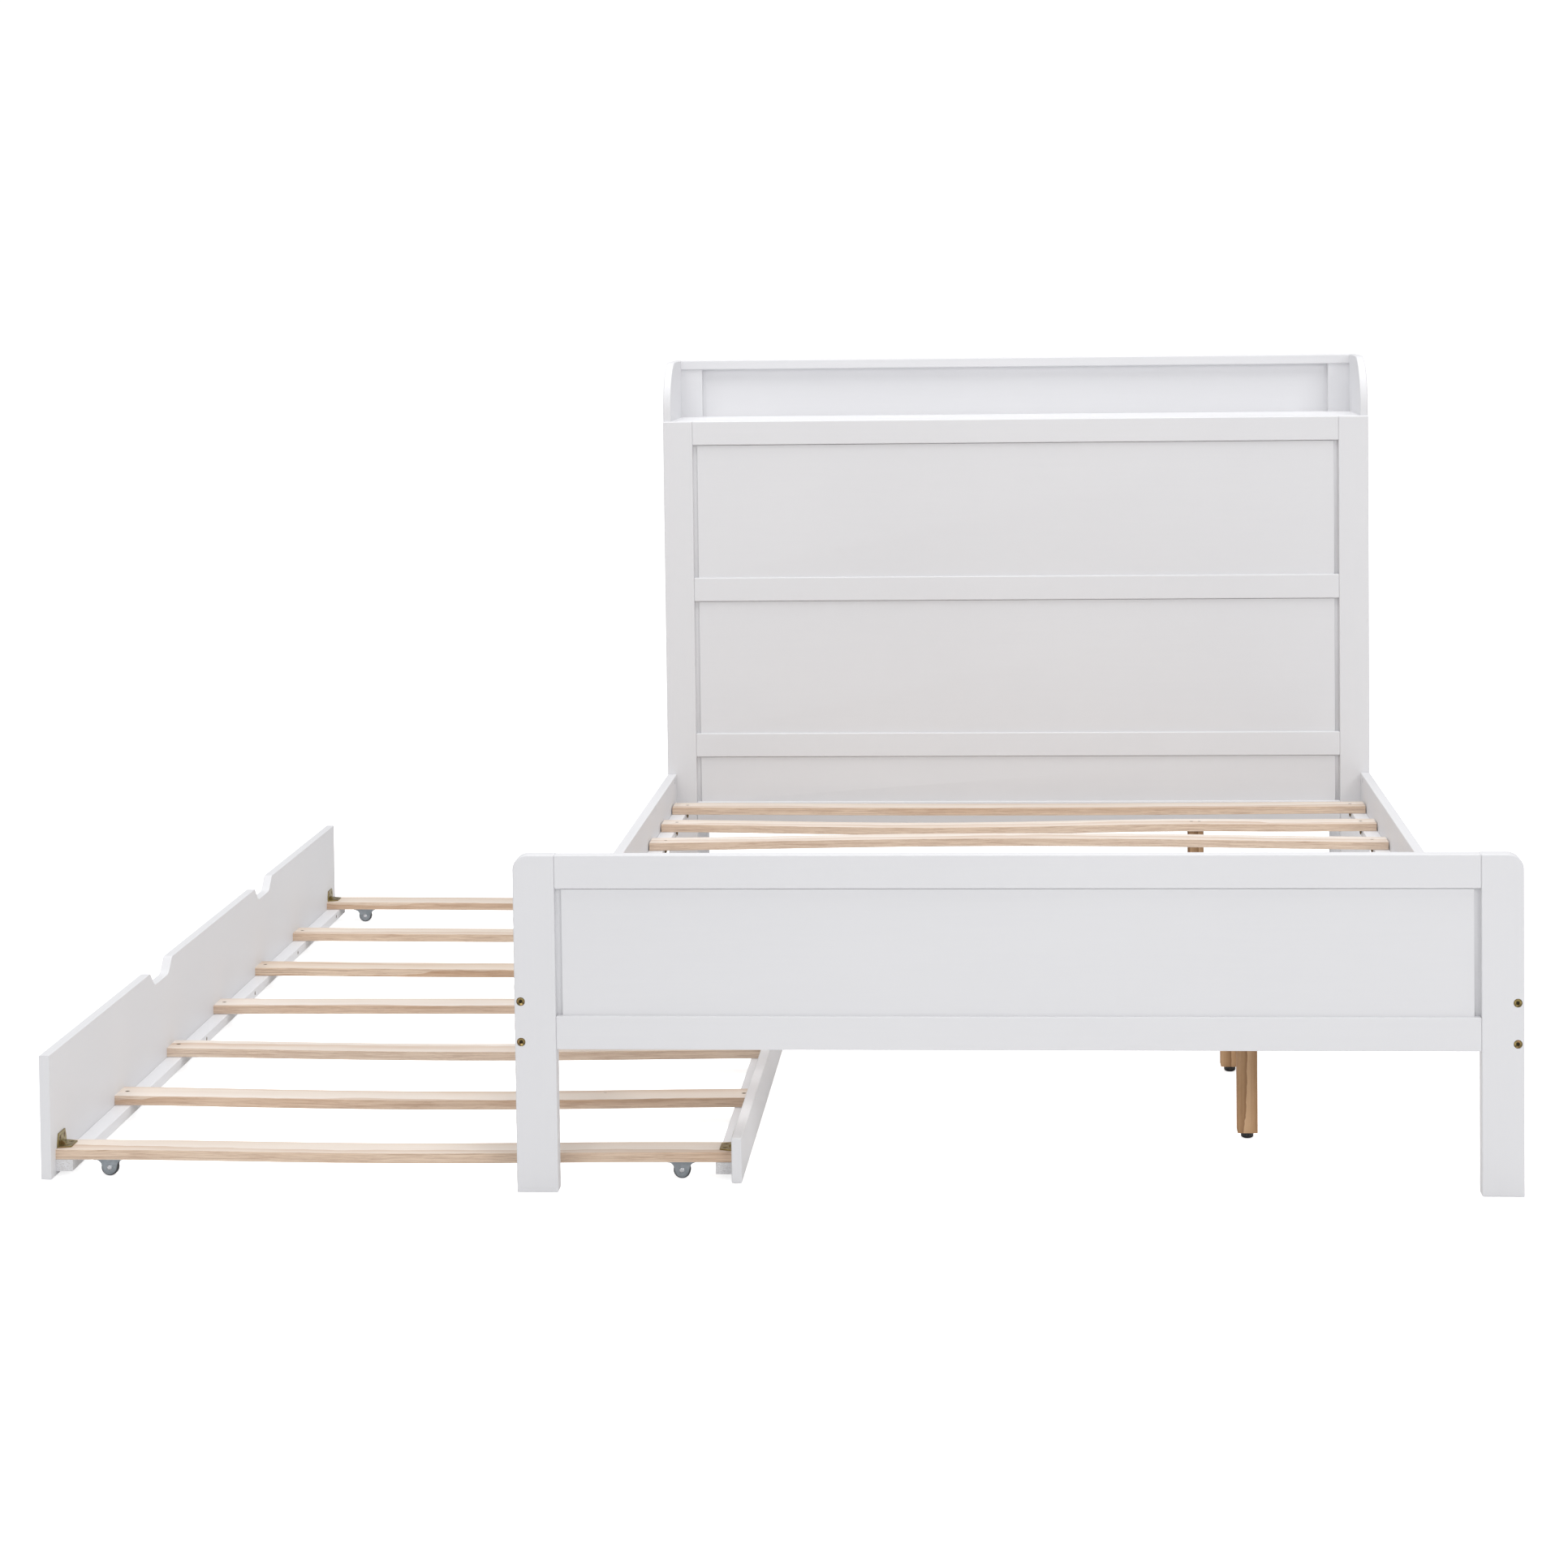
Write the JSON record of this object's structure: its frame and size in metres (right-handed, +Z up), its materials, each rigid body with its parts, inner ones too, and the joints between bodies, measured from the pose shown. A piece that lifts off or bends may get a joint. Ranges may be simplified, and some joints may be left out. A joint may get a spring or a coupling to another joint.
{
  "type": "trundle bed",
  "caption": "White slatted platform bed with shelf headboard and panelled footboard; a low slatted trundle rolls out sideways on fixed castors.",
  "frame": {"origin": "on the floor under the middle of the box of the whole object, trundle rolled out as at rest", "axes": "+Y from the footboard to the headboard, +Z up, +X to the right seen from the foot; the trundle rolls out to -X"},
  "size_m": [2.12, 2.186, 1.122],
  "materials": {
    "white_paint": "satin white paint on solid wood and board",
    "slat_wood": "planed, unfinished pale wood",
    "leg_wood": "planed, oiled warm pine",
    "glide_plastic": "black moulded plastic",
    "yellow_zinc": "yellow passivated zinc plate",
    "bright_zinc": "bright zinc plate",
    "castor_grey": "grey coated pressed steel",
    "castor_tread": "grey moulded plastic"
  },
  "bodies": {
    "bed": {"bed_screws": "yellow_zinc", "bed_slat_01": "slat_wood", "bed_slat_02": "slat_wood", "bed_slat_03": "slat_wood", "bed_slat_04": "slat_wood", "bed_slat_05": "slat_wood", "bed_slat_06": "slat_wood", "bed_slat_07": "slat_wood", "bed_slat_08": "slat_wood", "bed_slat_09": "slat_wood", "bed_slat_10": "slat_wood", "cross_nuts": "bright_zinc", "foot_bottom_rail": "white_paint", "foot_leg_left": "white_paint", "foot_leg_right": "white_paint", "foot_panel": "white_paint", "foot_top_rail": "white_paint", "frame_bolts": "yellow_zinc", "head_bottom_rail": "white_paint", "head_lower_panel": "white_paint", "head_lower_rail": "white_paint", "head_middle_panel": "white_paint", "head_middle_rail": "white_paint", "head_post_left": "white_paint", "head_post_right": "white_paint", "head_stretchers": "white_paint", "head_top_rail": "white_paint", "head_upper_panel": "white_paint", "rear_post_left": "white_paint", "rear_post_right": "white_paint", "shelf_back_panel": "white_paint", "shelf_back_rail": "white_paint", "shelf_board": "white_paint", "shelf_bracket_left": "white_paint", "shelf_bracket_right": "white_paint", "side_rail_left": "white_paint", "side_rail_right": "white_paint", "slat_cleat_left": "white_paint", "slat_cleat_right": "white_paint", "support_glides": "glide_plastic", "support_legs": "leg_wood"},
    "trundle": {"castor_axles": "bright_zinc", "castor_housings": "castor_grey", "corner_braces": "yellow_zinc", "trundle_back_cleat": "white_paint", "trundle_back_panel": "white_paint", "trundle_front_cleat": "white_paint", "trundle_front_panel": "white_paint", "trundle_screws": "yellow_zinc", "trundle_slat_1": "slat_wood", "trundle_slat_2": "slat_wood", "trundle_slat_3": "slat_wood", "trundle_slat_4": "slat_wood", "trundle_slat_5": "slat_wood", "trundle_slat_6": "slat_wood", "trundle_slat_7": "slat_wood"},
    "castor_1": {"castor_wheel_1": "castor_tread"},
    "castor_2": {"castor_wheel_2": "castor_tread"},
    "castor_3": {"castor_wheel_3": "castor_tread"},
    "castor_4": {"castor_wheel_4": "castor_tread"}
  },
  "joints": [
    {"name": "trundle_roll", "type": "slide", "parent": "bed", "child": "trundle", "axis": [1, 0, 0], "range_m": [-0.34, 0.7]},
    {"name": "castor_spin_1", "type": "hinge", "parent": "trundle", "child": "castor_1", "pos_m": [-0.97, -1.016, 0.0125], "axis": [0, 1, 0], "continuous": true},
    {"name": "castor_spin_2", "type": "hinge", "parent": "trundle", "child": "castor_2", "pos_m": [-0.132, -1.016, 0.0125], "axis": [0, 1, 0], "continuous": true},
    {"name": "castor_spin_3", "type": "hinge", "parent": "trundle", "child": "castor_3", "pos_m": [-0.97, 0.771, 0.0125], "axis": [0, 1, 0], "continuous": true},
    {"name": "castor_spin_4", "type": "hinge", "parent": "trundle", "child": "castor_4", "pos_m": [-0.132, 0.771, 0.0125], "axis": [0, 1, 0], "continuous": true}
  ],
  "couplings": [
    {"joint": "castor_spin_1", "follows": "trundle_roll", "rad_per_m": 80},
    {"joint": "castor_spin_2", "follows": "trundle_roll", "rad_per_m": 80},
    {"joint": "castor_spin_3", "follows": "trundle_roll", "rad_per_m": 80},
    {"joint": "castor_spin_4", "follows": "trundle_roll", "rad_per_m": 80}
  ]
}
